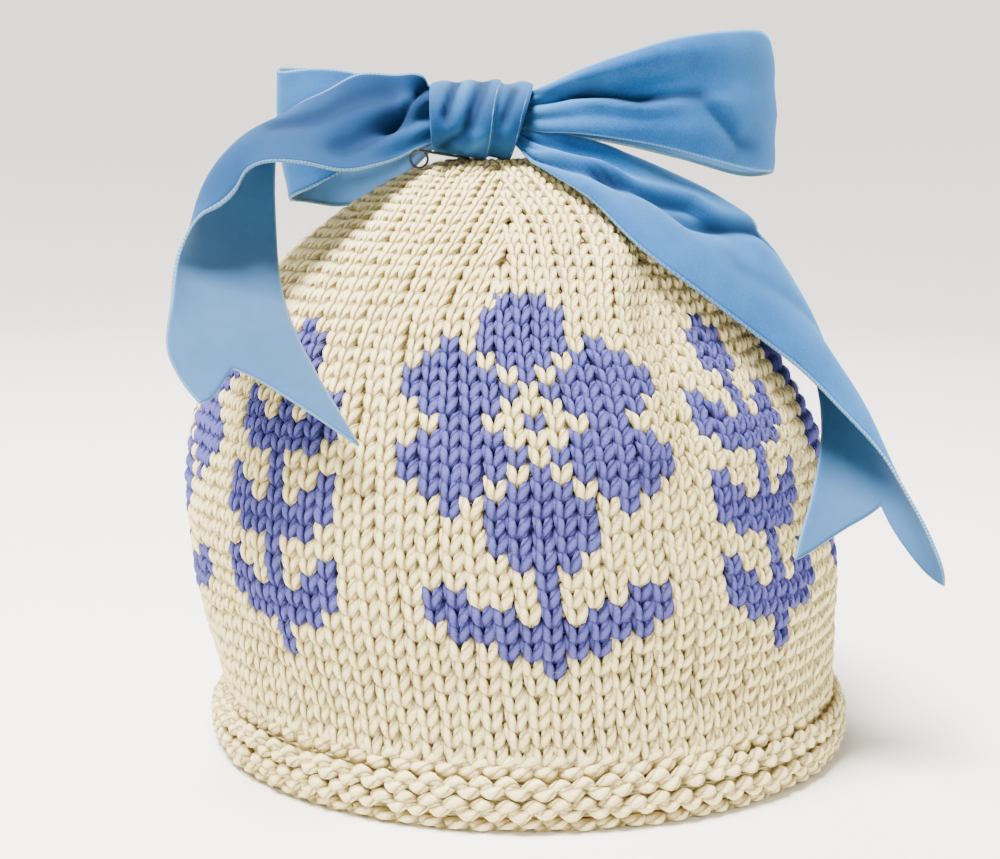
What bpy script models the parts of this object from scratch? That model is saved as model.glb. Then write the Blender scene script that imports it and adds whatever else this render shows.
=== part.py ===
# Knitted tea cosy with a tied ribbon bow, modelled at real size in metres, +Z up.
# The cosy stands on its rolled hem, with its front towards -Y, the handle slit at -X and the spout slit at +X.
# The tables are in millimetres about the cosy's own upright axis; AXIS places that axis in the frame.
from math import atan2, cos, degrees, exp, hypot, pi, radians, sin, tau

import bmesh
import bpy
from mathutils import Matrix, Vector

MM = 0.001
AXIS = Vector((-4.7, 0.0, 0.0))

# Knitted wall
WALL = 3.4
AROUND = 56
ROWS_PER_SECTION = 2
SAME_PLACE = 0.001
HALVINGS = 24
LEAST_HALF_WIDTH = 1.0

# One row for each level: height, sideways shift of its middle, half width along X, half depth along Y
SECTIONS = (
    (148.5, -8.0, 0.0, 0.0),
    (148.1, -8.0, 8.0, 8.0),
    (147.0, -8.0, 16.0, 15.5),
    (144.2, -7.3, 24.5, 23.0),
    (140.5, -6.3, 32.5, 31.0),
    (134.0, -5.7, 43.0, 41.0),
    (123.5, -7.0, 55.0, 52.5),
    (110.0, -8.5, 64.5, 62.5),
    (96.0, -7.2, 73.3, 70.0),
    (82.0, -6.0, 79.6, 75.5),
    (64.0, -5.4, 82.3, 78.5),
    (46.0, -3.2, 83.0, 79.5),
    (32.0, -2.0, 81.0, 78.8),
    (22.0, -0.8, 79.8, 79.0),
    (15.5, 0.0, 79.0, 79.0),
)

# Rolled hem: an upright oval bead, fused to the foot of the wall, with a flat ring to stand on
HEM_MIDDLE_RADIUS = 77.6
HEM_MIDDLE_HEIGHT = 6.7
HEM_HALF_WIDTH = 5.4
HEM_HALF_HEIGHT = 7.3
HEM_START = radians(70)
HEM_END = radians(-205)
HEM_STEPS = 14

# Ridges and valleys in the knitting, one row each: the angle round the axis and the height of its upper
# end and of its lower end, its half width, and how far it stands out (a valley is negative)
FOLDS = (
    (-92.0, 143.0, -93.0, 127.0, 5.0, -2.6),
    (-58.0, 142.0, -62.0, 126.0, 6.0, 2.6),
    (-62.0, 126.0, -66.0, 88.0, 7.0, 2.4),
    (-52.0, 122.0, -57.0, 84.0, 7.0, -2.2),
    (-140.0, 143.0, -148.0, 120.0, 5.0, -2.0),
    (-128.0, 142.0, -134.0, 112.0, 9.0, 1.6),
    (-160.0, 132.0, -166.0, 96.0, 8.0, 1.5),
    (60.0, 142.0, 64.0, 100.0, 7.0, 2.0),
    (95.0, 143.0, 96.0, 124.0, 6.0, -2.2),
    (135.0, 142.0, 140.0, 108.0, 8.0, 1.8),
    (-75.0, 36.0, -48.0, 24.0, 12.0, -1.2),
    (-150.0, 46.0, -130.0, 24.0, 12.0, -1.4),
)
FOLD_FADE = 9.0
FOLDS_START_RADIUS = 20.0

# Slits in the two sides: which side, the heights of the two ends, and the widest gap
SLITS = (
    ("handle", -1, 42.0, 112.0, 22.0),
    ("spout", 1, 45.0, 106.0, 26.0),
)
SLIT_STEPS = 26
SLIT_POINTED = 0.35

# Ribbon
RIBBON = 1.2
ACROSS = 6

# Ribbon tables, one row for each section along a run: the middle of the ribbon, the bearing and rise of the
# line from its near edge to its far edge, its width there, how far the middle bulges, and the depth of a crease
LEFT_TAIL = (
    (-22.6, -8.0, 158.8, 85.0, 76.0, 11.0, 0.5, -1.5),
    (-27.2, -10.2, 159.0, 84.0, 62.0, 17.0, 1.5, -2.5),
    (-34.0, -13.2, 158.8, 82.0, 48.0, 29.0, 2.0, -3.0),
    (-43.5, -18.0, 158.0, 86.0, 41.0, 36.0, 2.5, -1.5),
    (-52.2, -22.4, 157.0, 83.0, 29.0, 36.0, 2.5, 0.0),
    (-61.0, -26.0, 155.2, 80.0, 21.0, 36.0, 2.5, 0.0),
    (-66.8, -28.8, 151.0, 74.0, 18.0, 36.0, 2.5, 0.0),
    (-69.6, -33.0, 141.0, 64.0, 13.0, 36.0, 2.5, 0.0),
    (-71.0, -39.5, 129.5, 58.0, 6.0, 36.0, 2.0, 0.0),
    (-70.2, -50.5, 118.4, 52.0, 3.0, 35.0, 2.0, 0.0),
    (-67.6, -61.5, 109.3, 40.0, 0.0, 34.0, 2.0, 0.0),
    (-62.2, -70.0, 100.6, 25.0, -7.0, 33.5, 1.5, 0.0),
    (-55.2, -78.0, 92.2, 12.0, -17.0, 36.0, 1.0, 0.0),
)
RIGHT_TAIL = (
    (-3.4, -9.6, 154.8, 62.0, 32.0, 5.0, 0.2, 0.0),
    (1.0, -15.2, 152.2, 66.0, 38.0, 10.0, 0.6, -0.8),
    (8.0, -22.0, 149.6, 74.0, 34.0, 18.0, 2.0, -2.5),
    (17.4, -27.4, 145.4, 74.0, 30.0, 25.0, 2.5, -2.0),
    (29.4, -31.0, 137.4, 74.0, 31.0, 34.0, 2.5, -1.5),
    (43.2, -30.0, 128.8, 76.0, 37.0, 36.0, 2.5, -1.5),
    (55.4, -26.5, 119.8, 80.0, 41.0, 36.0, 3.0, -1.0),
    (65.0, -24.5, 109.4, 88.0, 34.0, 36.0, 3.5, 0.0),
    (71.8, -27.0, 98.0, 98.0, 27.0, 36.0, 4.0, 0.0),
    (77.4, -32.5, 86.8, 109.0, 22.0, 35.0, 4.5, 0.0),
    (80.2, -42.0, 75.2, 123.0, 20.0, 34.0, 4.5, 0.0),
    (80.4, -50.5, 63.6, 146.0, 16.0, 33.5, 3.5, 0.0),
    (78.9, -55.5, 53.6, 172.0, 8.0, 35.0, 2.0, 0.0),
)
RIGHT_LOOP = (
    (-2.0, -7.4, 160.8, 75.0, 84.0, 7.6, 0.2, -0.4),
    (3.6, -14.6, 161.2, 62.0, 80.0, 11.5, 1.0, -2.0),
    (11.6, -21.0, 162.8, 60.0, 80.0, 15.5, 1.0, -3.5),
    (22.0, -24.0, 164.0, 60.0, 80.0, 20.5, 1.5, -3.5),
    (33.8, -23.0, 164.8, 60.0, 78.0, 26.5, 2.0, -2.8),
    (46.0, -17.5, 164.3, 60.0, 76.0, 32.0, 2.5, -1.5),
    (56.6, -8.0, 163.2, 70.0, 78.0, 35.0, 2.0, -0.5),
    (61.6, 4.0, 162.0, 110.0, 84.0, 35.0, 1.0, 0.0),
    (56.0, 16.0, 161.0, 240.0, 86.0, 34.0, 2.0, 0.0),
    (41.0, 21.5, 160.6, 270.0, 86.0, 30.0, 2.0, -1.0),
    (22.0, 19.0, 160.4, 270.0, 86.0, 21.0, 1.5, -2.0),
    (6.0, 12.0, 160.2, 270.0, 86.0, 13.0, 1.0, -1.5),
    (-2.2, 6.6, 160.2, 270.0, 84.0, 9.0, 0.2, -0.4),
)
LEFT_LOOP = (
    (-22.6, -0.6, 158.2, 90.0, 80.0, 10.5, -0.3, 0.8),
    (-27.6, -1.4, 157.9, 90.0, 68.0, 14.0, -1.0, 2.0),
    (-34.0, -1.4, 157.4, 90.0, 66.0, 21.0, -1.5, 2.5),
    (-43.8, 0.0, 156.0, 90.0, 68.0, 30.5, -2.0, 2.0),
    (-54.0, 3.0, 154.6, 90.0, 70.0, 36.0, -2.0, 1.0),
    (-62.6, 10.0, 154.6, 105.0, 74.0, 36.0, -1.5, 0.0),
    (-62.0, 21.5, 155.4, 150.0, 80.0, 36.0, -1.0, 0.0),
    (-50.0, 27.0, 156.4, 250.0, 86.0, 33.0, -1.5, 0.5),
    (-37.0, 21.5, 157.6, 265.0, 86.0, 22.0, -1.5, 2.0),
    (-27.6, 13.0, 158.4, 270.0, 82.0, 13.5, -1.0, 1.6),
    (-22.6, 7.2, 158.4, 270.0, 82.0, 10.5, -0.3, 0.8),
)
STEPS_PER_ROW = 3
LOOK_AHEAD = 0.05
CREASE_AT = 0.6
CREASE_HALF_WIDTH = 0.16

# Fishtail cuts, as shares of the run: the depth of the notch and where it stands across the ribbon
LEFT_NOTCH = (0.10, 0.38)
RIGHT_NOTCH = (0.13, 0.46)

# Centre knot, a band wound about X: its middle, its half depth and half height, how much its top leans to +X,
# how much its front hangs down, and how full the corners of its section are
KNOT_MIDDLE = Vector((0.0, -1.0, 158.6))
KNOT_HALF_DEPTH = 19.0
KNOT_HALF_HEIGHT = 9.6
KNOT_LEAN = 0.26
KNOT_HANG = 0.06
KNOT_FULLNESS = 0.86
KNOT_STEPS = 28

# Band profile along X: place along the band, and share of the full radius.
# Its two ends are hollowed, and the ribbon runs start inside them.
KNOT_PROFILE = (
    (-21.6, 0.0),
    (-21.6, 0.85),
    (-24.0, 0.87),
    (-24.4, 0.92),
    (-23.6, 0.98),
    (-21.0, 1.01),
    (-18.8, 0.99),
    (-17.2, 0.92),
    (-15.2, 0.99),
    (-12.2, 1.03),
    (-9.6, 1.00),
    (-8.0, 0.92),
    (-6.4, 1.00),
    (-4.2, 1.03),
    (-2.6, 1.00),
    (-1.7, 0.95),
    (-2.2, 0.92),
    (-4.6, 0.90),
    (-4.6, 0.0),
)

# Safety pin: a coil of one turn and two arms, the wire bent round a flat ring that faces the front
PIN_WIRE = 0.7
PIN_RING = 2.1
PIN_MIDDLE = Vector((-27.0, -21.5, 148.9))
PIN_ARM_END = Vector((-15.0, -13.5, 149.0))
PIN_ARMS_APART = 1.4
PIN_TURN_POINTS = 16
PIN_ARM_SHARES = (0.0, 0.35, 0.7, 0.9)

SHARP_ANGLE = radians(50)

COLOURS = {
    "wool": ((0.80, 0.74, 0.60, 1.0), 0.95, 0.0),
    "velvet": ((0.10, 0.30, 0.52, 1.0), 0.85, 0.0),
    "steel": ((0.16, 0.16, 0.17, 1.0), 0.35, 1.0),
}


def clear_scene():
    for item in list(bpy.data.objects):
        bpy.data.objects.remove(item)


def new_collection(name):
    group = bpy.data.collections.new(name)
    bpy.context.scene.collection.children.link(group)
    return group


def new_material(name):
    colour, roughness, metallic = COLOURS[name]
    material = bpy.data.materials.new(name)
    material.use_nodes = True
    shader = material.node_tree.nodes["Principled BSDF"]
    shader.inputs["Base Color"].default_value = colour
    shader.inputs["Roughness"].default_value = roughness
    shader.inputs["Metallic"].default_value = metallic
    return material


def add_object(group, name, mesh_points, material):
    mesh = bpy.data.meshes.new(name)
    mesh_points.to_mesh(mesh)
    mesh_points.free()
    mesh.shade_smooth()
    mesh.set_sharp_from_angle(angle=SHARP_ANGLE)
    item = bpy.data.objects.new(name, mesh)
    item.data.materials.append(material)
    group.objects.link(item)
    return item


def placed(point):
    """A point of the tables as a place in the frame."""
    return (Vector(point) + AXIS) * MM


def smooth_column(rows, column, place):
    """One column of a table at a fractional row number, on a smooth curve through its rows."""
    last = len(rows) - 1
    start = min(int(place), last - 1)
    share = place - start
    before = rows[max(start - 1, 0)][column]
    here = rows[start][column]
    after = rows[start + 1][column]
    beyond = rows[min(start + 2, last)][column]
    slope_here = (after - before) / 2
    slope_after = (beyond - here) / 2
    square = share * share
    cube = square * share
    return (
        here * (2 * cube - 3 * square + 1)
        + slope_here * (cube - 2 * square + share)
        + after * (3 * square - 2 * cube)
        + slope_after * (cube - square)
    )


def row_at_height(height):
    """The fractional row of SECTIONS at a height, found by halving."""
    low, high = 0.0, float(len(SECTIONS) - 1)
    for _ in range(HALVINGS):
        middle = (low + high) / 2
        if smooth_column(SECTIONS, 0, middle) > height:
            low = middle
        else:
            high = middle
    return (low + high) / 2


def fold_height(angle, height, radius):
    """How far the knitting stands out at one place, from all ridges and valleys."""
    total = 0.0
    for top_angle, top, foot_angle, foot, half_width, rise in FOLDS:
        along = (top - height) / (top - foot)
        held = min(max(along, 0.0), 1.0)
        line = top_angle + (foot_angle - top_angle) * held
        turn = (degrees(angle) - line + 180) % 360 - 180
        across = radians(turn) * radius / half_width
        past = (along - held) * (top - foot) / FOLD_FADE
        total += rise * exp(-across * across - past * past)
    return total


def shaped(point):
    """Moves a point of the round wall to the cosy's own oval, leaning and folded shape."""
    radius = hypot(point.x, point.y)
    if radius < SAME_PLACE:
        return Vector((point.x + SECTIONS[0][1], point.y, point.z))
    angle = atan2(point.y, point.x)
    row = row_at_height(point.z)
    width = max(smooth_column(SECTIONS, 2, row), LEAST_HALF_WIDTH)
    depth = max(smooth_column(SECTIONS, 3, row), LEAST_HALF_WIDTH)
    shift = smooth_column(SECTIONS, 1, row)
    out = radius + fold_height(angle, point.z, radius) * min(radius / FOLDS_START_RADIUS, 1.0)
    return Vector((shift + out * cos(angle), out * sin(angle) * depth / width, point.z))


def wall_profile():
    """Radius and height down the outer face of the wall, from the crown to the groove above the hem."""
    count = (len(SECTIONS) - 1) * ROWS_PER_SECTION
    places = [number / ROWS_PER_SECTION for number in range(count + 1)]
    return [(smooth_column(SECTIONS, 2, place), smooth_column(SECTIONS, 0, place)) for place in places]


def hem_profile():
    """Radius and height round the rolled hem, from the groove over its top, outside and flat foot to its inside."""
    points = []
    for number in range(HEM_STEPS + 1):
        angle = HEM_START + (HEM_END - HEM_START) * number / HEM_STEPS
        radius = HEM_MIDDLE_RADIUS + HEM_HALF_WIDTH * cos(angle)
        height = HEM_MIDDLE_HEIGHT + HEM_HALF_HEIGHT * sin(angle)
        points.append((radius, max(height, 0.0)))
    return points


def inner_profile(outer):
    """The wall's inner face, one wall thickness inside the outer face, from the hem up to the crown."""
    points = []
    for number in range(len(outer) - 1 - ROWS_PER_SECTION, 0, -ROWS_PER_SECTION):
        before, here, after = outer[number - 1], outer[number], outer[number + 1]
        run = Vector((after[0] - before[0], after[1] - before[1])).normalized()
        points.append((here[0] + run.y * WALL, here[1] - run.x * WALL))
    points = [point for point in points if point[0] > WALL]
    points.append((0.0, outer[0][1] - WALL))
    return points


def build_body(group, cutters, material):
    outer = wall_profile()
    section = outer + hem_profile() + inner_profile(outer)
    points = bmesh.new()
    line = [points.verts.new((radius, 0.0, height)) for radius, height in section]
    for first, second in zip(line, line[1:]):
        points.edges.new((first, second))
    bmesh.ops.spin(
        points, geom=points.verts[:] + points.edges[:], cent=(0, 0, 0), axis=(0, 0, 1),
        angle=tau, steps=AROUND, use_merge=True,
    )
    bmesh.ops.remove_doubles(points, verts=points.verts, dist=SAME_PLACE)
    half_step = Matrix.Rotation(pi / AROUND, 3, "Z")
    bmesh.ops.rotate(points, verts=points.verts, cent=(0, 0, 0), matrix=half_step)
    for vertex in points.verts:
        vertex.co = placed(shaped(vertex.co))
    bmesh.ops.recalc_face_normals(points, faces=points.faces)
    body = add_object(group, "cosy_body", points, material)
    for slit in SLITS:
        cutter = build_slit_cutter(cutters, material, *slit)
        cut = body.modifiers.new(cutter.name, "BOOLEAN")
        cut.object = cutter
        cut.operation = "DIFFERENCE"
        cut.solver = "EXACT"
    return body


def build_slit_cutter(cutters, material, name, side, low, high, gap):
    """An almond-shaped bar along X that opens one side of the wall."""
    points = bmesh.new()
    bmesh.ops.create_cone(
        points, cap_ends=True, segments=SLIT_STEPS, radius1=1.0, radius2=1.0, depth=1.0,
        matrix=Matrix.Rotation(pi / 2, 4, "Y"),
    )
    reach = HEM_MIDDLE_RADIUS
    for vertex in points.verts:
        across = vertex.co.y * abs(vertex.co.y) ** SLIT_POINTED * gap / 2
        height = (low + high) / 2 + vertex.co.z * (high - low) / 2
        vertex.co = placed((side * reach + vertex.co.x * reach, across, height))
    cutter = add_object(cutters, name + "_cutter", points, material)
    cutter.hide_render = True
    cutter.display_type = "WIRE"
    return cutter


def ribbon_point(rows, along, across):
    """A point of a ribbon run: along in rows, across from 0 at the near edge to 1 at the far edge."""
    middle = Vector([smooth_column(rows, column, along) for column in range(3)])
    ahead = min(along + LOOK_AHEAD, len(rows) - 1)
    behind = max(along - LOOK_AHEAD, 0.0)
    onward = Vector([
        smooth_column(rows, column, ahead) - smooth_column(rows, column, behind)
        for column in range(3)
    ])
    bearing = radians(smooth_column(rows, 3, along))
    rise = radians(smooth_column(rows, 4, along))
    width = smooth_column(rows, 5, along)
    bulge = smooth_column(rows, 6, along)
    crease = smooth_column(rows, 7, along)
    edge_line = Vector((cos(rise) * cos(bearing), cos(rise) * sin(bearing), sin(rise)))
    normal = onward.cross(edge_line).normalized()
    off = 2 * across - 1
    lift = bulge * (1 - off * off) + crease * exp(-(((across - CREASE_AT) / CREASE_HALF_WIDTH) ** 2))
    return middle + edge_line * (off * width / 2) + normal * lift


def build_ribbon(group, name, rows, material, notch=None):
    """A run of ribbon: a grid laid along its table, thickened, with a fishtail cut at its free end."""
    steps = (len(rows) - 1) * STEPS_PER_ROW
    points = bmesh.new()
    bmesh.ops.create_grid(points, x_segments=steps, y_segments=ACROSS, size=1.0)
    for vertex in points.verts:
        along = (vertex.co.x + 1) / 2
        across = (vertex.co.y + 1) / 2
        if notch:
            depth, place = notch
            side = across / place if across < place else (1 - across) / (1 - place)
            along *= 1 - depth * side
        vertex.co = placed(ribbon_point(rows, along * (len(rows) - 1), across))
    bmesh.ops.recalc_face_normals(points, faces=points.faces)
    run = add_object(group, name, points, material)
    thickness = run.modifiers.new("thickness", "SOLIDIFY")
    thickness.thickness = RIBBON * MM
    thickness.offset = 0.0
    thickness.use_even_offset = False
    return run


def build_knot(group, material):
    """The centre knot: the band's profile turned about X, flattened and leaning."""
    points = bmesh.new()
    line = [points.verts.new((place, 0.0, share)) for place, share in KNOT_PROFILE]
    for first, second in zip(line, line[1:]):
        points.edges.new((first, second))
    bmesh.ops.spin(
        points, geom=points.verts[:] + points.edges[:], cent=(0, 0, 0), axis=(1, 0, 0),
        angle=tau, steps=KNOT_STEPS, use_merge=True,
    )
    bmesh.ops.remove_doubles(points, verts=points.verts, dist=SAME_PLACE)
    start = KNOT_PROFILE[0][0]
    for vertex in points.verts:
        place, side, up = vertex.co
        share = hypot(side, up)
        around = atan2(up, side)
        depth = share * KNOT_HALF_DEPTH * filled_out(cos(around))
        height = share * KNOT_HALF_HEIGHT * filled_out(sin(around))
        leaning = (place - start) / -start * KNOT_LEAN * height
        vertex.co = placed(KNOT_MIDDLE + Vector((place + leaning, depth, height + depth * KNOT_HANG)))
    bmesh.ops.recalc_face_normals(points, faces=points.faces)
    return add_object(group, "ribbon_knot", points, material)


def filled_out(value):
    """Bends a sine or cosine so that a turned section has fuller corners."""
    return abs(value) ** KNOT_FULLNESS * (1 if value > 0 else -1)


def pin_route():
    """Points of the pin's wire: in along one arm, once round the coil, and out along the other arm."""
    top = PIN_MIDDLE + Vector((0.0, 0.0, PIN_RING))
    half = Vector((0.0, PIN_ARMS_APART / 2, 0.0))
    route = []
    for share in PIN_ARM_SHARES:
        route.append((PIN_ARM_END - half).lerp(top - half, share))
    for number in range(PIN_TURN_POINTS + 1):
        turn = number / PIN_TURN_POINTS
        angle = pi / 2 + tau * turn
        ring = Vector((PIN_RING * cos(angle), 0.0, PIN_RING * sin(angle)))
        route.append(PIN_MIDDLE + ring + half * (2 * turn - 1))
    for share in reversed(PIN_ARM_SHARES):
        route.append((PIN_ARM_END + half).lerp(top + half, share))
    return route


def build_pin(group, material):
    route = pin_route()
    curve = bpy.data.curves.new("safety_pin", "CURVE")
    curve.dimensions = "3D"
    curve.bevel_depth = PIN_WIRE / 2 * MM
    curve.bevel_resolution = 2
    curve.use_fill_caps = True
    spline = curve.splines.new("POLY")
    spline.points.add(len(route) - 1)
    for spline_point, place in zip(spline.points, route):
        spline_point.co = (*placed(place), 1.0)
    pin = bpy.data.objects.new("safety_pin", curve)
    pin.data.materials.append(material)
    group.objects.link(pin)
    return pin


def main():
    clear_scene()
    group = new_collection("tea_cosy")
    cutters = new_collection("cutters")
    wool = new_material("wool")
    velvet = new_material("velvet")
    steel = new_material("steel")
    build_body(group, cutters, wool)
    build_knot(group, velvet)
    build_ribbon(group, "ribbon_loop_left", LEFT_LOOP, velvet)
    build_ribbon(group, "ribbon_loop_right", RIGHT_LOOP, velvet)
    build_ribbon(group, "ribbon_tail_left", LEFT_TAIL, velvet, LEFT_NOTCH)
    build_ribbon(group, "ribbon_tail_right", RIGHT_TAIL, velvet, RIGHT_NOTCH)
    build_pin(group, steel)


if __name__ == "__main__":
    main()
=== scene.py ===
"""Looks of a hand-knitted tea cosy tied with a velvet ribbon bow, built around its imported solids.

Tables are in millimetres about the cosy's own upright axis, and AXIS places that axis in the frame.
"""
from math import cos, pi, radians, sin, tau

import bmesh
import bpy
import numpy as np
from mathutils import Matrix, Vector


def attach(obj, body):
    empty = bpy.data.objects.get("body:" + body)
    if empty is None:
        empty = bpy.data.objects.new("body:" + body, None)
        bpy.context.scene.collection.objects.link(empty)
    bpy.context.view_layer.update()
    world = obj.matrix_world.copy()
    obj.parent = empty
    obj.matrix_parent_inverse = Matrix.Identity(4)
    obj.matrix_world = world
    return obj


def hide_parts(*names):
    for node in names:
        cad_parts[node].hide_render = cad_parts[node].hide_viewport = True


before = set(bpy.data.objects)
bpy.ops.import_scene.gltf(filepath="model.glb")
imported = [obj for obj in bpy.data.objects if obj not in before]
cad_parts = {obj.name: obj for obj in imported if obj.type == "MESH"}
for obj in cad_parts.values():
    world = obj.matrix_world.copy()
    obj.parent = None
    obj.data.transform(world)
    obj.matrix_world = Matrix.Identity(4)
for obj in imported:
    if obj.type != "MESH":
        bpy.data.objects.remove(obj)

bl_info = {
    "name": "Knitted tea cosy",
    "version": (1, 0, 0),
    "blender": (4, 5, 0),
    "location": "View3D > Sidebar > Tea cosy",
    "description": "Knits, ties and lights a tea cosy with a velvet bow",
    "category": "Object",
}

BODY = "root"
MM = 0.001
AXIS = Vector((-4.7, 0.0, 0.0))
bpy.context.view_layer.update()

# One row for each level of the wall: height, sideways shift, half width along X, half depth along Y
SECTIONS = (
    (148.5, -8.0, 0.0, 0.0),
    (148.1, -8.0, 8.0, 8.0),
    (147.0, -8.0, 16.0, 15.5),
    (144.2, -7.3, 24.5, 23.0),
    (140.5, -6.3, 32.5, 31.0),
    (134.0, -5.7, 43.0, 41.0),
    (123.5, -7.0, 55.0, 52.5),
    (110.0, -8.5, 64.5, 62.5),
    (96.0, -7.2, 73.3, 70.0),
    (82.0, -6.0, 79.6, 75.5),
    (64.0, -5.4, 82.3, 78.5),
    (46.0, -3.2, 83.0, 79.5),
    (32.0, -2.0, 81.0, 78.8),
    (22.0, -0.8, 79.8, 79.0),
    (15.5, 0.0, 79.0, 79.0),
)
WALL_SAMPLES = 560

# Rolled hem: an oval bead below the wall
HEM_MIDDLE_RADIUS = 77.6
HEM_MIDDLE_HEIGHT = 6.7
HEM_HALF_WIDTH = 5.4
HEM_HALF_HEIGHT = 7.3
HEM_START = radians(70)
HEM_END = radians(-205)
HEM_SAMPLES = 220

# Ridges and valleys over a slight unevenness: angle and height of the upper end and of the lower end, half
# width, rise
FOLDS = (
    (-92.0, 143.0, -93.0, 127.0, 5.0, -2.6),
    (-58.0, 142.0, -62.0, 126.0, 6.0, 2.6),
    (-62.0, 126.0, -66.0, 88.0, 7.0, 2.4),
    (-52.0, 122.0, -57.0, 84.0, 7.0, -2.2),
    (-140.0, 143.0, -148.0, 120.0, 5.0, -2.0),
    (-128.0, 142.0, -134.0, 112.0, 9.0, 1.6),
    (-160.0, 132.0, -166.0, 96.0, 8.0, 1.5),
    (60.0, 142.0, 64.0, 100.0, 7.0, 2.0),
    (95.0, 143.0, 96.0, 124.0, 6.0, -2.2),
    (135.0, 142.0, 140.0, 108.0, 8.0, 1.8),
    (-75.0, 36.0, -48.0, 24.0, 12.0, -1.2),
    (-150.0, 46.0, -130.0, 24.0, 12.0, -1.4),
)
UNEVEN = 0.45
FOLD_FADE = 9.0
FOLDS_START_RADIUS = 20.0

# Slits: angle of the line that opens, heights of its two ends, widest gap
SLITS = (
    (pi, 42.0, 112.0, 22.0),
    (0.0, 45.0, 106.0, 26.0),
)
SLIT_ROUNDNESS = 0.675
SLIT_REACH = 60.0

# Knitting: wales in each sector of the crown, from the front round to the right, and rows up the wall
FIRST_WALE_ANGLE = -pi / 2
SECTORS = (11, 12, 12, 12, 13, 13, 13, 14)
WALES = sum(SECTORS)
ROWS = 47
ROW_SHRINK = 0.10
WALE_STEP = tau / WALES
CROWN_RADIUS = 62.0
CROWN_WALE = 3.4
LAST_RADIUS = 7.0
DECREASE_OVERLAP = 0.15
QUARTERS = ("front_right", "back_right", "back_left", "front_left")

# Colour chart of one repeat, top row first: a flower on its stem and a leafy sprig beside it
CHART = (
    ".....###.................",
    "....#####................",
    "....#####.........#......",
    "..#.#####.#......###.....",
    ".###.###.###.....###.....",
    "#####.#.#####....###.....",
    "######.######.....#......",
    ".####...####...#..#..#...",
    "..##..#..##....##.#.##...",
    ".####...####...#######...",
    "######.######...#####....",
    "#####.#.#####.....#......",
    ".###.###.###...#..#..#...",
    "..#.#####.#....##.#.##...",
    "....#####......#######...",
    "....#####.......#####....",
    ".....###..........#......",
    "......#........#..#..#...",
    ".##...#...##...##.#.##...",
    ".####.#.####...#######...",
    "..#########.....#####....",
    "....#####.........#......",
    "......#...........#......",
)
CHART_FOOT_ROW = 5
CHART_SHIFT = 5

# One leg of a stitch, in wales across and rows up
LEG_SIDES = 6
LEG_RINGS = 6
LEG_START = (0.05, -0.46)
LEG_END = (0.44, 1.20)
LEG_HALF_WIDTH = 0.235
LEG_HALF_DEPTH = 1.25
LEG_SINK = -2.0
LEG_LIFT = 1.75
LEG_TAPER = 0.5
LEG_SLANT = 0.5
# Start and length of the stretch of a half wave that gives the leg its thickness and its height
LEG_SWELL = (0.07, 0.84)
LEG_ARCH = (0.06, 0.86)

# How uneven the stitches are
STITCH_SEED = 11
WOBBLE_WIDTH = 0.06
WOBBLE_ACROSS = 0.03
WOBBLE_UP = 0.06
WOBBLE_TILT = 0.04
WOBBLE_LIFT = 0.14

# Purl bumps on the rolled hem
BUMP_WALES = 88
BUMP_ROWS = 5
BUMP_PITCH = 5.4
BUMP_START = 2.2
BUMP_SIDES = 7
BUMP_RINGS = 7
BUMP_SPAN = 0.56
BUMP_ARCH = 0.22
BUMP_HALF_HEIGHT = 0.30
BUMP_RADIUS = 1.6
BUMP_TAPER = 0.6
BUMP_SINK = -1.9
BUMP_LIFT = 1.4
BUMP_CURVE = 0.8
BUMP_SEED = 29
BUMP_WOBBLE_TILT = 0.06
BUMP_WOBBLE_ACROSS = 0.06
BUMP_WOBBLE_DOWN = 0.035
BUMP_WOBBLE_LIFT = 0.22

# Thin cloth under the stitches
GROUND_LIFT = -2.3
GROUND_THICKNESS = 0.5
GROUND_ROWS = 100
GROUND_MERGE = 0.08
FOOT_CLEAR = 0.8

# Halo of loose fibres
HAIRS = (110, 60)
HAIR_SIDES = 3
HAIR_RINGS = 4
HAIR_SEED = 43
HAIR_RADIUS = 0.032
HAIR_LENGTH = (2.5, 7.5)
HAIR_LIFT = (0.3, 1.5)
HAIR_FOOT = -12.0
HAIR_TOP_GAP = 12.0
HAIR_SPREAD = 0.9
HAIR_CURL = 2.2
HAIR_SINK = -0.2
HAIR_BEND = 2.4
HAIR_LEAST_RADIUS = 10.0

# Ribbon
RIBBON_WIDTH = 36.0
RIBBON_THICKNESS = 0.7
RIBBON_STEPS = 10
RIBBON_ACROSS = 26
LOOK_AHEAD = 0.05
CREASE_AT = 0.6
CREASE_HALF_WIDTH = 0.16

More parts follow.
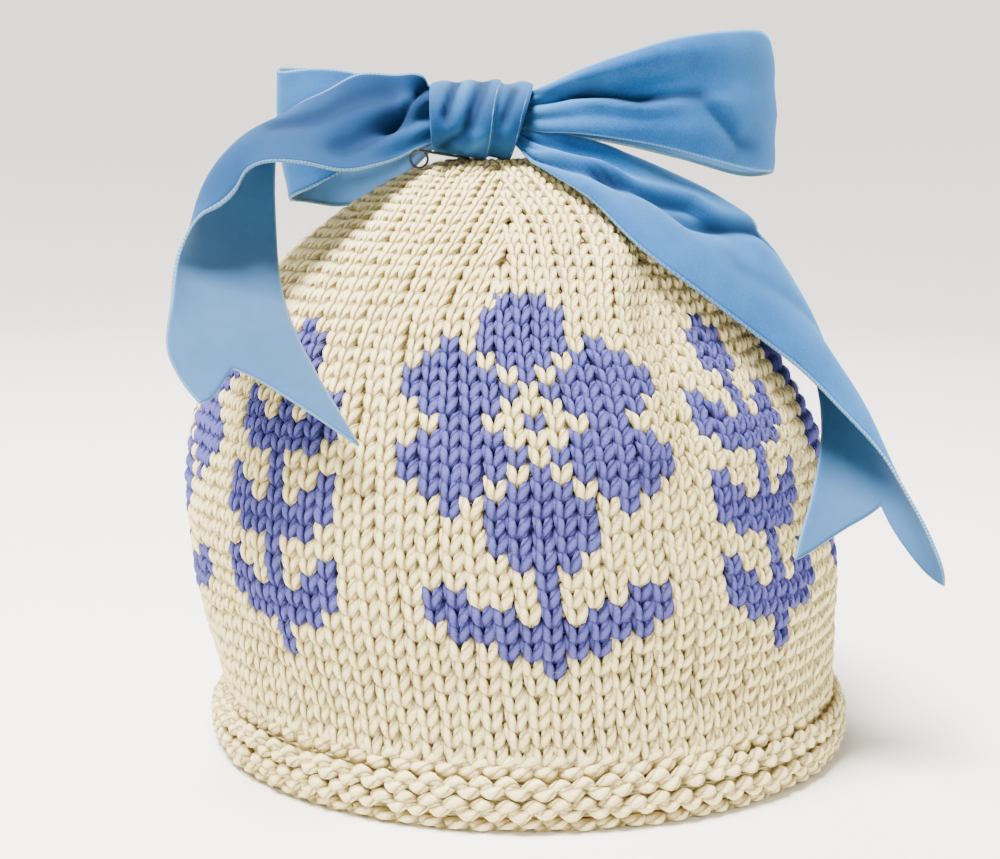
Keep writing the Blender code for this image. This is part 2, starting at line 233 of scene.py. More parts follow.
# Ribbon tables: middle of the ribbon, bearing and rise of the line from near edge to far edge, width,
# how far the middle bulges, and depth of a crease
LEFT_TAIL = (
    (-22.6, -8.0, 160.2, 85.0, 76.0, 14.0, 0.5, -1.5),
    (-27.2, -10.2, 160.5, 84.0, 62.0, 20.6, 1.5, -2.5),
    (-34.0, -13.2, 158.8, 82.0, 48.0, 29.0, 2.0, -3.0),
    (-43.5, -18.0, 158.0, 86.0, 41.0, 36.0, 2.5, -1.5),
    (-52.2, -22.4, 157.0, 83.0, 29.0, 36.0, 1.5, 0.0),
    (-61.0, -26.0, 155.2, 80.0, 21.0, 36.0, -0.5, 0.0),
    (-66.8, -28.8, 151.0, 74.0, 18.0, 36.0, -4.0, 0.0),
    (-71.4, -33.0, 141.0, 60.0, 13.0, 36.0, -5.0, 0.0),
    (-71.8, -39.5, 129.5, 56.0, 6.0, 36.0, -2.0, 0.0),
    (-70.2, -50.5, 118.4, 52.0, 3.0, 35.0, 0.5, 0.0),
    (-67.6, -61.5, 109.3, 40.0, 0.0, 34.0, 2.0, 0.0),
    (-62.2, -70.0, 100.6, 25.0, -7.0, 33.5, 1.5, 0.0),
    (-55.2, -78.0, 92.2, 12.0, -17.0, 36.0, 1.0, 0.0),
)
RIGHT_TAIL = (
    (-3.4, -9.6, 154.8, 62.0, 32.0, 5.0, 0.2, 0.0),
    (1.0, -15.2, 152.2, 66.0, 38.0, 10.0, 0.6, -0.8),
    (8.0, -22.0, 149.6, 74.0, 34.0, 18.0, 2.0, -2.5),
    (17.4, -27.4, 145.4, 74.0, 30.0, 25.0, 2.5, -2.0),
    (29.4, -31.0, 137.4, 74.0, 31.0, 34.0, 2.5, -1.5),
    (43.2, -30.0, 128.8, 76.0, 37.0, 36.0, 2.5, -1.5),
    (55.4, -26.5, 119.8, 80.0, 41.0, 36.0, 3.0, -1.0),
    (65.0, -24.5, 109.4, 88.0, 34.0, 36.0, 3.5, 0.0),
    (71.8, -27.0, 98.0, 98.0, 27.0, 36.0, 4.0, 0.0),
    (77.4, -32.5, 86.8, 109.0, 22.0, 35.0, 4.5, 0.0),
    (80.2, -42.0, 75.2, 123.0, 20.0, 34.0, 4.5, 0.0),
    (80.4, -50.5, 63.6, 146.0, 16.0, 33.5, 3.5, 0.0),
    (78.9, -55.5, 53.6, 172.0, 8.0, 35.0, 2.0, 0.0),
)
RIGHT_LOOP = (
    (-2.0, -7.4, 160.8, 75.0, 84.0, 7.6, 0.2, -0.4),
    (3.6, -14.6, 161.2, 62.0, 80.0, 11.5, 1.0, -2.0),
    (11.6, -21.0, 162.8, 60.0, 80.0, 15.5, 1.0, -3.5),
    (22.0, -24.0, 164.0, 60.0, 80.0, 20.5, 1.5, -3.5),
    (33.8, -23.0, 164.8, 60.0, 78.0, 26.5, 2.0, -2.8),
    (46.0, -17.5, 164.3, 60.0, 76.0, 32.0, 2.5, -1.5),
    (56.6, -8.0, 163.2, 70.0, 78.0, 35.0, 2.0, -0.5),
    (62.0, 4.0, 161.2, 110.0, 84.0, 32.0, 1.0, 0.0),
    (56.0, 16.0, 161.0, 240.0, 86.0, 34.0, 2.0, 0.0),
    (41.0, 21.5, 162.0, 270.0, 86.0, 27.2, 2.0, -1.0),
    (22.0, 19.0, 161.6, 270.0, 86.0, 17.5, 1.5, -2.0),
    (6.0, 12.0, 160.7, 270.0, 86.0, 12.0, 1.0, -1.5),
    (-2.2, 6.6, 160.2, 270.0, 84.0, 9.0, 0.2, -0.4),
)
LEFT_LOOP = (
    (-22.6, -0.6, 158.2, 90.0, 80.0, 10.5, -0.3, 0.8),
    (-27.6, -1.4, 157.9, 90.0, 68.0, 14.0, -1.0, 2.0),
    (-34.0, -1.4, 158.6, 90.0, 66.0, 18.0, -1.5, 2.5),
    (-43.8, 0.0, 158.6, 90.0, 68.0, 25.0, -2.0, 2.0),
    (-54.0, 3.0, 156.8, 90.0, 70.0, 31.5, -2.0, 1.0),
    (-62.8, 10.0, 154.8, 105.0, 74.0, 34.0, -1.5, 0.0),
    (-62.0, 21.5, 154.8, 150.0, 80.0, 36.0, -1.0, 0.0),
    (-50.0, 27.0, 153.6, 250.0, 86.0, 36.0, -1.5, 0.5),
    (-37.0, 21.5, 154.2, 265.0, 86.0, 29.0, -1.5, 2.0),
    (-27.6, 13.0, 157.2, 270.0, 82.0, 18.0, -1.0, 1.6),
    (-22.6, 7.2, 158.4, 270.0, 82.0, 10.5, -0.3, 0.8),
)

# Creases of each run: rows where it starts and ends, place across at both ends, half width across, depth,
# and how much more the side beyond the line stands out than the side before it. A rolled edge has its
# middle row, its spread in rows, its share of the width and how far it turns in. pile is a painted shade
# over the run's whole velvet, which its creases deepen in their troughs and lessen on their ridges.
RUNS = {
    "ribbon_tail_left": {
        "rows": LEFT_TAIL, "velvet_side": -1, "notch": (0.10, 0.38), "flat_length": 0.134, "pile": 0.80,
        "rolled_edge": (6.8, 1.25, 0.36, 6.8),
        "creases": ((0.5, 1.8, 0.92, 0.46, 0.11, 3.6, 1.8), (1.8, 3.0, 0.46, 0.30, 0.12, 1.2, 0.4),
                    (0.0, 1.5, 0.28, 0.20, 0.12, -0.9, 0.0), (2.4, 5.0, 0.78, 0.62, 0.12, 0.9, 0.0)),
    },
    "ribbon_tail_right": {
        "rows": RIGHT_TAIL, "velvet_side": 1, "notch": (0.13, 0.46), "flat_length": 0.160, "pile": 0.0,
        "creases": ((1.2, 3.1, 0.14, 0.43, 0.06, -1.4, 1.3), (3.1, 4.5, 0.43, 0.70, 0.05, -2.0, 1.6),
                    (4.6, 6.0, 0.54, 0.96, 0.07, -2.2, 0.6), (0.4, 3.0, 0.75, 0.80, 0.08, 0.9, 0.0),
                    (5.6, 8.0, 0.40, 0.62, 0.10, -0.8, 0.0)),
    },
    "ribbon_loop_right": {
        "rows": RIGHT_LOOP, "velvet_side": 1, "notch": None, "flat_length": 0.160, "pile": 0.05,
        "creases": ((1.7, 3.4, 0.64, 0.43, 0.06, -3.0, -1.8), (3.4, 4.5, 0.43, 0.50, 0.06, -1.6, -1.2),
                    (4.6, 5.5, 0.44, 0.18, 0.07, -1.4, 0.3), (0.6, 2.0, 0.86, 0.74, 0.08, -1.0, 0.0),
                    (8.6, 12.0, 0.60, 0.50, 0.08, -1.8, 0.0), (9.0, 12.0, 0.28, 0.40, 0.08, -1.2, 0.0)),
    },
    "ribbon_loop_left": {
        "rows": LEFT_LOOP, "velvet_side": -1, "notch": None, "flat_length": 0.105, "pile": 0.38,
        "creases": ((0.0, 3.0, 0.40, 0.30, 0.08, 1.4, 0.0), (7.0, 10.0, 0.55, 0.50, 0.08, 1.8, 0.0),
                    (7.4, 10.0, 0.25, 0.35, 0.08, 1.2, 0.0)),
    },
}
CREASE_FADE = 0.5
CREASE_SHADE = 0.40
STEP_FADE = 0.35

# Gathers, where the ribbon is drawn in towards the knot: height for each millimetre drawn in, greatest
# height, waves across, and the share that is left at the run's ends
GATHER_RISE = 0.055
GATHER_HEIGHT = 0.6
GATHER_WAVES = 2.6
GATHER_LEAST = 0.2

# Knot: a band wound about X, whose underside narrows towards its left end
KNOT_MIDDLE = Vector((0.0, -1.0, 158.6))
KNOT_HALF_DEPTH = 19.0
KNOT_HALF_HEIGHT = 9.6
KNOT_LEAN = 0.34
KNOT_TAPER = 0.14
KNOT_TAPER_FALL = 1.8
KNOT_TAPER_LEAST = -0.9
KNOT_HANG = 0.06
KNOT_FULLNESS = 0.86
KNOT_STEPS = 96
KNOT_ROW_STEPS = 4
KNOT_PROFILE = (
    (-21.6, 0.0),
    (-21.6, 0.85),
    (-24.0, 0.87),
    (-24.4, 0.92),
    (-23.6, 0.98),
    (-21.0, 1.00),
    (-18.0, 1.00),
    (-15.2, 1.01),
    (-12.4, 1.02),
    (-10.2, 1.03),
    (-9.2, 1.02),
    (-8.4, 0.95),
    (-6.4, 0.95),
    (-4.2, 0.97),
    (-2.6, 0.97),
    (-1.7, 0.94),
    (-2.2, 0.91),
    (-4.6, 0.89),
    (-4.6, 0.0),
)
# Creases across the front of the knot: place along and height share at both ends, half width, depth share
KNOT_CREASES = (
    (-18.6, 1.00, -20.6, 0.20, 0.9, -0.16),
    (-12.6, 1.00, -14.6, 0.00, 1.5, -0.12),
    (-16.2, 0.95, -17.4, -0.10, 1.4, 0.05),
    (-17.0, -0.25, -21.0, -0.65, 1.6, -0.07),
    (-11.6, -0.30, -15.0, -0.80, 1.8, 0.05),
    (-5.6, 0.75, -6.4, 0.10, 1.1, -0.07),
)
KNOT_CREASE_FADE = 0.18
# Radius where creases begin and the depth over which they grow, how its front is told from its back, its
# small ripples, and the painted shade of its pile and of its creases
KNOT_SKIN = (0.8, 0.15)
KNOT_FRONT_SHARPNESS = 2.0
KNOT_FRONT_REACH = 0.4
KNOT_RIPPLE = 0.010
KNOT_BACK_RIPPLE = 0.03
KNOT_SHADE = 0.60
KNOT_CREASE_SHADE = 7.0
# Woven edges that show on the knot: their places along, width and wander, and the ribbon widths that its
# round counts as
KNOT_EDGES = (-9.3, -2.4)
KNOT_EDGE_WIDTH = 0.5
KNOT_EDGE_WANDER = 0.35
KNOT_WIDTHS_ROUND = 3

# Materials: threads and stitches are counted for each ribbon width
YARN_PLIES = 3.0
YARN_TWIST = 1.6
PLY_SHARPNESS = 0.55
SELVEDGE = (0.11, 0.24, 0.40, 1.0)
SELVEDGE_THREADS = 34
SELVEDGE_STITCHES = 40
FACE_SELVEDGE = 0.014
BACK_SELVEDGE = 0.012
BACK_THREADS = 90
BACK_LIGHT = (0.022, 0.092, 0.215, 1.0)
BACK_SHEEN = (0.75, 0.87, 1.0, 1.0)
WIRE_DARK = (0.012, 0.014, 0.018, 1.0)
WIRE_LIGHT = (0.06, 0.06, 0.07, 1.0)

# Camera and stage
CAMERA_LENS = 66.17
CAMERA_PITCH = radians(9.0)
CAMERA_DISTANCE = 0.48
LOOK_AT = Vector((-0.0120, 0.0, 0.0788))
FLOOR_RADIUS = 1.1
SWEEP_RADIUS = 0.9
SWEEP_STEPS = 16
FLOOR_STEPS = 96
FLOOR_COLOUR = (0.90, 0.88, 0.84, 1.0)
ROOM_COLOUR = (0.90, 0.89, 0.87, 1.0)
ROOM_STRENGTH = 0.44
# Name, place, size, power and colour
LIGHTS = (
    ("window_light", (-0.28, -0.28, 1.22), 0.5, 100.0, (1.0, 0.985, 0.95)),
    ("room_light", (0.9, -1.0, 0.6), 0.9, 4.0, (0.95, 0.97, 1.0)),
    ("back_light", (-0.2, 0.9, 0.9), 0.8, 14.0, (1.0, 0.99, 0.97)),
)


# Helpers


def settings():
    return bpy.context.scene.tea_cosy


def new_mesh(points, name):
    """A bmesh as a new mesh."""
    mesh = bpy.data.meshes.new(name)
    points.to_mesh(mesh)
    points.free()
    return mesh


def add_to(whole, part):
    """Adds one bmesh to another."""
    mesh = new_mesh(part, "part")
    whole.from_mesh(mesh)
    bpy.data.meshes.remove(mesh)


def add_piece(mesh, name, materials):
    """Makes a mesh a smooth piece that rides with the cosy."""
    for material in materials:
        mesh.materials.append(material)
    mesh.shade_smooth()
    piece = bpy.data.objects.new(name, mesh)
    bpy.context.scene.collection.objects.link(piece)
    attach(piece, BODY)
    return piece


def thicken(piece, thickness, offset, inner, rim):
    """Gives a sheet its thickness. inner and rim count on from the material of each face."""
    solid = piece.modifiers.new("thickness", "SOLIDIFY")
    solid.thickness = thickness
    solid.offset = offset
    solid.material_offset = inner
    solid.material_offset_rim = rim


def spun(outline, axis, steps, merge):
    """An outline turned once round an axis through the origin."""
    points = bmesh.new()
    line = [points.verts.new(corner) for corner in outline]
    for first, second in zip(line, line[1:]):
        points.edges.new((first, second))
    bmesh.ops.spin(
        points, geom=points.verts[:] + points.edges[:], cent=(0, 0, 0), axis=axis,
        angle=tau, steps=steps, use_merge=True,
    )
    bmesh.ops.remove_doubles(points, verts=points.verts, dist=merge)
    return points


def smooth_column(rows, column, place):
    """One column of a table at fractional row numbers, on a smooth curve through its rows."""
    values = np.array([row[column] for row in rows], dtype=float)
    place = np.asarray(place, dtype=float)
    last = len(rows) - 1
    start = np.clip(np.floor(place).astype(int), 0, last - 1)
    share = place - start
    before = values[np.maximum(start - 1, 0)]
    here = values[start]
    after = values[start + 1]
    beyond = values[np.minimum(start + 2, last)]
    slope_here = (after - before) / 2
    slope_after = (beyond - here) / 2
    square = share * share
    cube = square * share
    return (
        here * (2 * cube - 3 * square + 1)
        + slope_here * (cube - 2 * square + share)
        + after * (3 * square - 2 * cube)
        + slope_after * (cube - square)
    )


def cloth_path():
    """Columns against the run of the cloth, which is 0 at the groove over the hem and rises up the wall:
    run, radius, height, sideways shift, depth for each unit of width, and the outward direction."""
    place = np.linspace(0, len(SECTIONS) - 1, WALL_SAMPLES)
    turn = np.linspace(HEM_START, HEM_END, HEM_SAMPLES)
    wall_radius = smooth_column(SECTIONS, 2, place)
    wall_height = smooth_column(SECTIONS, 0, place)
    radius = np.concatenate([wall_radius, HEM_MIDDLE_RADIUS + HEM_HALF_WIDTH * np.cos(turn)])
    height = np.concatenate([wall_height, HEM_MIDDLE_HEIGHT + HEM_HALF_HEIGHT * np.sin(turn)])
    shift = np.concatenate([smooth_column(SECTIONS, 1, place), np.zeros(HEM_SAMPLES)])
    depth = np.maximum(smooth_column(SECTIONS, 3, place), 1.0) / np.maximum(wall_radius, 1.0)
    depth = np.concatenate([depth, np.ones(HEM_SAMPLES)])
    length = np.concatenate([[0.0], np.cumsum(np.hypot(np.diff(radius), np.diff(height)))])
    run = length[WALL_SAMPLES - 1] - length
    order = np.argsort(run)
    run, radius, height, shift, depth = (column[order] for column in (run, radius, height, shift, depth))
    run = run + np.arange(len(run)) * 1e-6
    radius_slope = np.gradient(radius, run)
    height_slope = np.gradient(height, run)
    size = np.maximum(np.hypot(radius_slope, height_slope), 1e-6)
    return {
        "run": run, "radius": radius, "height": height, "shift": shift, "depth": depth,
        "out": height_slope / size, "up": -radius_slope / size,
    }


PATH = cloth_path()
WALL_RUN = float(PATH["run"][-1])
HEM_RUN = float(PATH["run"][0])


def along_path(name, run):
    return np.interp(run, PATH["run"], PATH[name])


def fold_height(angle, height, radius):
    """How far the knitting stands out, from all ridges and valleys and a little unevenness."""
    total = UNEVEN * np.sin(3 * angle + height / 17.0) * np.sin(height / 11.0 + 2 * np.sin(angle * 2))
    for top_angle, top, foot_angle, foot, half_width, rise in FOLDS:
        along = (top - height) / (top - foot)
        held = np.clip(along, 0.0, 1.0)
        line = top_angle + (foot_angle - top_angle) * held
        turn = (np.degrees(angle) - line + 180) % 360 - 180
        across = np.radians(turn) * radius / half_width
        past = (along - held) * (top - foot) / FOLD_FADE
        total = total + rise * np.exp(-across * across - past * past)
    return total


def slit_half_gap(height, low, high, gap):
    share = (height - (low + high) / 2) / ((high - low) / 2)
    return gap / 2 * np.clip(1 - share * share, 0, 1) ** SLIT_ROUNDNESS


def opened(angle, centre, radius, height):
    """Angles moved away from the slits. centre is the angle of the stitch or sheet that holds a point."""
    for line, low, high, gap in SLITS:
        centre_away = (centre - line + pi) % tau - pi
        side = np.where(centre_away >= 0, 1.0, -1.0)
        away = ((angle - centre) + centre_away) * side * radius
        push = slit_half_gap(height, low, high, gap) * np.clip(1 - away / SLIT_REACH, 0, 1)
        angle = angle + side * push / np.maximum(radius, 1.0)
    return angle


def on_cloth(angle, centre, run, lift):
    """Places in metres of points given by angle, run and lift off the cloth's outer face."""
    radius = along_path("radius", run)
    height = along_path("height", run)
    angle = opened(angle, centre, radius, height)
    out = radius + fold_height(angle, height, radius) * np.minimum(radius / FOLDS_START_RADIUS, 1.0)
    out = out + lift * along_path("out", run)
    x = along_path("shift", run) + out * np.cos(angle)
    y = out * np.sin(angle) * along_path("depth", run)
    z = np.maximum(height + lift * along_path("up", run), 0.0)
    return (np.stack([x, y, z], axis=-1) + np.array(AXIS)) * MM


def row_run(rows):
    """Run up the wall of a fractional row: rows lie closer towards the crown."""
    share = rows / ROWS
    return WALL_RUN * (share * (1 + ROW_SHRINK) - ROW_SHRINK * share * share)


def wale_spread(run):
    """How many times its own share of the round one wale takes, which grows where wales are decreased."""
    radius = along_path("radius", run)
    natural = radius * WALE_STEP
    narrow = CROWN_RADIUS * WALE_STEP
    kept = CROWN_WALE + (narrow - CROWN_WALE) * np.clip(radius / CROWN_RADIUS, 0, 1)
    return np.where(radius < CROWN_RADIUS, kept / np.maximum(natural, 0.05), 1.0)


def wale_angle(column, run, sector_middle):
    """Angle of a fractional wale number, in a sector that is centred on sector_middle wales."""
    return FIRST_WALE_ANGLE + (sector_middle + (column - sector_middle) * wale_spread(run)) * WALE_STEP


def repeated(unit, columns, rows, name):
    """A joined array of one small mesh, laid out one unit apart along X and then along Y."""
    cell = bpy.data.objects.new(name, unit)
    bpy.context.scene.collection.objects.link(cell)
    for label, count, step in (("across", columns, (1, 0, 0)), ("up", rows, (0, 1, 0))):
        array = cell.modifiers.new(label, "ARRAY")
        array.count = count
        array.use_relative_offset = False
        array.use_constant_offset = True
        array.constant_offset_displace = step
    graph = bpy.context.evaluated_depsgraph_get()
    mesh = bpy.data.meshes.new_from_object(cell.evaluated_get(graph))
    bpy.data.objects.remove(cell)
    return mesh


def copied_points(mesh, unit, columns):
    """Points of a repeated unit, and the copy, column and row that each belongs to."""
    flat = np.empty(len(mesh.vertices) * 3, dtype=np.float64)
    mesh.vertices.foreach_get("co", flat)
    copy = np.arange(len(mesh.vertices)) // len(unit.vertices)
    return flat.reshape(-1, 3), copy, copy % columns, copy // columns


def set_points(mesh, points):
    mesh.vertices.foreach_set("co", np.ascontiguousarray(points, dtype=np.float64).ravel())
    mesh.update()


def keep_copies(mesh, unit, keep):
    """Deletes the copies of a unit whose flag in keep is False."""
    size = len(unit.vertices)
    points = bmesh.new()
    points.from_mesh(mesh)
    points.verts.ensure_lookup_table()
    gone = []
    for number in np.flatnonzero(~keep):
        gone.extend(points.verts[number * size:(number + 1) * size])
    bmesh.ops.delete(points, geom=gone, context="VERTS")
    points.to_mesh(mesh)
    points.free()


def yarn_piece(points_of, sides, rings):
    """One closed piece of yarn: a capped cylinder cut into rings, whose points points_of(angle, share) moves.
    Its UV map runs round the yarn and along it."""
    part = bmesh.new()
    bmesh.ops.create_cone(
        part, cap_ends=True, cap_tris=False, segments=sides, radius1=1.0, radius2=1.0, depth=1.0,
    )
    long_edges = [edge for edge in part.edges if abs(edge.verts[0].co.z - edge.verts[1].co.z) > 0.5]
    bmesh.ops.subdivide_edges(part, edges=long_edges, cuts=rings - 2, use_grid_fill=True)
    layer = part.loops.layers.uv.new("UVMap")
    for face in part.faces:
        middle = face.calc_center_median()
        middle_turn = np.arctan2(middle.y, middle.x) / tau
        for loop in face.loops:
            turn = np.arctan2(loop.vert.co.y, loop.vert.co.x) / tau
            turn = turn + round(middle_turn - turn)
            loop[layer].uv = (turn, loop.vert.co.z + 0.5)
    for vertex in part.verts:
        angle = np.arctan2(vertex.co.y, vertex.co.x)
        vertex.co = points_of(angle, vertex.co.z + 0.5)
    return part


def joined_units(parts, name):
    """Several small bmeshes as one mesh."""
    whole = bmesh.new()
    for part in parts:
        add_to(whole, part)
    return new_mesh(whole, name)


# Materials


class Finish:
    """A material in the making, with its Principled shader and the nodes that feed it."""

    def __init__(self, name, **values):
        self.material = bpy.data.materials.new(name)
        self.material.use_nodes = True
        self.nodes = self.material.node_tree.nodes
        self.links = self.material.node_tree.links
        self.sockets = self.nodes["Principled BSDF"].inputs
        for label, value in values.items():
            self.sockets[label.replace("_", " ")].default_value = value

    def add(self, kind, **values):
        """A node with some of its properties or sockets set."""
        node = self.nodes.new(kind)
        for label, value in values.items():
            if hasattr(node, label):
                setattr(node, label, value)
            else:
                node.inputs[label.replace("_", " ")].default_value = value
        return node

    def feed(self, socket, value):
        """Links a socket to another one, or sets it to a number or a colour."""
        if isinstance(value, bpy.types.NodeSocket):
            self.links.new(value, socket)
        else:
            socket.default_value = value

    def places(self, kind):
        """The socket of one kind of texture coordinates."""
        if "Texture Coordinate" not in self.nodes:
            self.nodes.new("ShaderNodeTexCoord")
        return self.nodes["Texture Coordinate"].outputs[kind]

    def uv(self):
        """The UV map's two sockets: across or round, and along."""
        parts = self.add("ShaderNodeSeparateXYZ")
        self.feed(parts.inputs[0], self.places("UV"))
        return parts.outputs[0], parts.outputs[1]

    def math(self, operation, *values):
        node = self.add("ShaderNodeMath", operation=operation)
        for socket, value in zip(node.inputs, values):
            self.feed(socket, value)
        return node.outputs[0]

    def scaled(self, value, by, plus=0.0):
        return self.math("MULTIPLY_ADD", value, by, plus)

    def wave(self, value, count):
        """A sine with so many waves for each unit of the value."""
        return self.math("SINE", self.math("MULTIPLY", value, count * tau))

    def off_middle(self, value):
        return self.math("ABSOLUTE", self.math("SUBTRACT", value, 0.5))

    def edges(self, across, width):
        """1 in a narrow band along both edges of the ribbon, 0 elsewhere."""
        return self.math("GREATER_THAN", self.off_middle(across), 0.5 - width)

    def noise(self, scale, detail, roughness=0.5):
        """Noise that lies still on the piece."""
        node = self.add("ShaderNodeTexNoise", Scale=scale, Detail=detail, Roughness=roughness)
        self.feed(node.inputs["Vector"], self.places("Object"))
        return node.outputs["Fac"]

    def mix(self, share, first, second):
        """A mix of two colours or colour sockets."""
        node = self.add("ShaderNodeMix", data_type="RGBA")
        for number, value in ((0, share), (6, first), (7, second)):
            self.feed(node.inputs[number], value)
        return node.outputs[2]

    def done(self, colour, height, strength, distance):
        """The finished material, with its colour and a bump from its height."""
        bump = self.add("ShaderNodeBump", Strength=strength, Distance=distance)
        self.feed(bump.inputs["Height"], height)
        self.feed(self.sockets["Base Color"], colour)
        self.feed(self.sockets["Normal"], bump.outputs["Normal"])
        return self.material


def toned(colour, share):
    """A colour made darker or lighter."""
    return (*[min(1.0, value * share) for value in colour[:3]], 1.0)


def yarn_material(name, light, dark):
    """Plied wool: painted shade between plies, underneath and at its ends, uneven tone, fine fibres."""
    wool = Finish(
        name, Roughness=0.92, Specular_IOR_Level=0.15,
        Sheen_Weight=0.35, Sheen_Roughness=0.6, Sheen_Tint=toned(light, 1.15),
    )
    around, along = wool.uv()
    turns = wool.scaled(around, by=YARN_PLIES * tau, plus=wool.scaled(along, by=YARN_TWIST * tau))
    # Painted shade in the grooves between the plies
    ply = wool.math("ABSOLUTE", wool.math("SINE", wool.scaled(turns, by=0.5)))
    ply = wool.math("POWER", ply, PLY_SHARPNESS)
    fibres = wool.noise(1900.0, 4.0)
    patches = wool.noise(180.0, 2.0)
    # Painted shade: lighter on the yarn's outer side, darker on its sides and underside
    painted_side_shade = wool.wave(around, 1)
    # Painted shade at the ends, where the yarn dips into the cloth
    ends = wool.math("POWER", wool.off_middle(along), 4.0)
    shade = -1.86
    for value, weight in ((ply, 1.15), (fibres, 1.1), (patches, 0.8), (painted_side_shade, 0.9), (ends, -12.0)):
        shade = wool.scaled(value, by=weight, plus=shade)
    height = wool.scaled(fibres, by=0.8, plus=ply)
    return wool.done(wool.mix(shade, dark, light), height, strength=0.9, distance=0.0005)


def ground_material(name, colour):
    """Shadowed knitting between and behind the stitches."""
    wool = Finish(name, Roughness=0.95, Specular_IOR_Level=0.1)
    fibres = wool.noise(420.0, 4.0)
    return wool.done(wool.mix(fibres, toned(colour, 0.62), colour), fibres, strength=0.7, distance=0.0008)


def purl_material(name, light, dark):
    """The inside of the knitting: rows of small bumps, by a UV map that counts wales and rows."""
    wool = Finish(name, Roughness=0.95, Specular_IOR_Level=0.1)
    wales, rows = wool.uv()
    beads = wool.scaled(wool.wave(wales, 1), by=0.35, plus=0.65)
    height = wool.math("MULTIPLY", wool.wave(rows, 2), beads)
    # Painted shade where the bumps dip, over a random tone
    shade = wool.scaled(height, by=0.35, plus=wool.noise(700.0, 4.0))
    return wool.done(wool.mix(shade, dark, light), height, strength=1.0, distance=0.0009)


def velvet_material(name, face, fold, sheen, selvedge):
    """Velvet pile: deep face on, paler where brushed, painted sheen edge on, painted shade, woven edges."""
    velvet = Finish(
        name, Roughness=0.85, Specular_IOR_Level=0.12,
        Sheen_Weight=0.35, Sheen_Roughness=0.35, Sheen_Tint=sheen,
    )
    across, along = velvet.uv()
    pile = velvet.noise(2600.0, 3.0)
    brushed = velvet.scaled(pile, by=0.9, plus=velvet.noise(75.0, 4.0, roughness=0.6))
    colour = velvet.mix(velvet.scaled(brushed, by=1.9, plus=-1.2), fold, face)
    # Painted sheen: the pile paler where it is seen edge on
    facing = velvet.add("ShaderNodeLayerWeight", Blend=0.28).outputs["Facing"]
    colour = velvet.mix(velvet.scaled(facing, by=0.6), colour, sheen)
    # Painted shade, kept on each piece: in creases, and over runs of darker pile
    painted_shade = velvet.add("ShaderNodeAttribute", attribute_name="painted_shade").outputs["Fac"]
    colour = velvet.mix(painted_shade, colour, toned(fold, 0.45))
    threads = velvet.scaled(velvet.wave(along, SELVEDGE_THREADS), by=0.3, plus=0.65)
    band = velvet.math("MULTIPLY", velvet.edges(across, FACE_SELVEDGE), threads)
    return velvet.done(velvet.mix(band, colour, selvedge), pile, strength=0.35, distance=0.0003)


def ribbon_back_material(name, light, dark, selvedge):
    """The woven back of the velvet: matte, with fine threads both ways."""
    cloth = Finish(name, Roughness=0.7, Specular_IOR_Level=0.25, Sheen_Weight=0.15, Sheen_Tint=BACK_SHEEN)
    across, along = cloth.uv()
    weave = cloth.math("MULTIPLY", cloth.wave(across, BACK_THREADS), cloth.wave(along, BACK_THREADS))
    # A faint painted shade between the threads of the weave, over a random tone
    shade = cloth.scaled(weave, by=0.10, plus=cloth.noise(260.0, 5.0, roughness=0.7))
    band = cloth.scaled(cloth.edges(across, BACK_SELVEDGE), by=0.6)
    colour = cloth.mix(band, cloth.mix(shade, dark, light), selvedge)
    return cloth.done(colour, weave, strength=0.25, distance=0.0001)


def selvedge_material(name, colour):
    """The woven edge, in small pale stitches."""
    edge = Finish(name, Roughness=0.75)
    stitches = edge.wave(edge.uv()[1], SELVEDGE_STITCHES)
    # Painted shade between the stitches: a darker copy of the edge's own colour
    shade = edge.scaled(stitches, by=0.35, plus=0.6)
    return edge.done(edge.mix(shade, toned(colour, 0.55), colour), stitches, strength=0.6, distance=0.0002)


def wire_material(name):
    """Dark drawn wire, a little scratched."""
    wire = Finish(name, Metallic=1.0)
    scratches = wire.noise(900.0, 4.0)
    wire.feed(wire.sockets["Base Color"], wire.mix(scratches, WIRE_DARK, WIRE_LIGHT))
    wire.feed(wire.sockets["Roughness"], wire.scaled(scratches, by=0.3, plus=0.18))
    return wire.material


# Knitting


def nearest_stitch(angle, run):
    """Wale and row of the stitch that lies at an angle and run."""
    rows = np.interp(run, row_run(np.arange(ROWS + 1.0)), np.arange(ROWS + 1.0), left=-1.0)
    wales = (angle - FIRST_WALE_ANGLE) / WALE_STEP
    return np.floor(wales).astype(int) % WALES, np.floor(rows).astype(int)


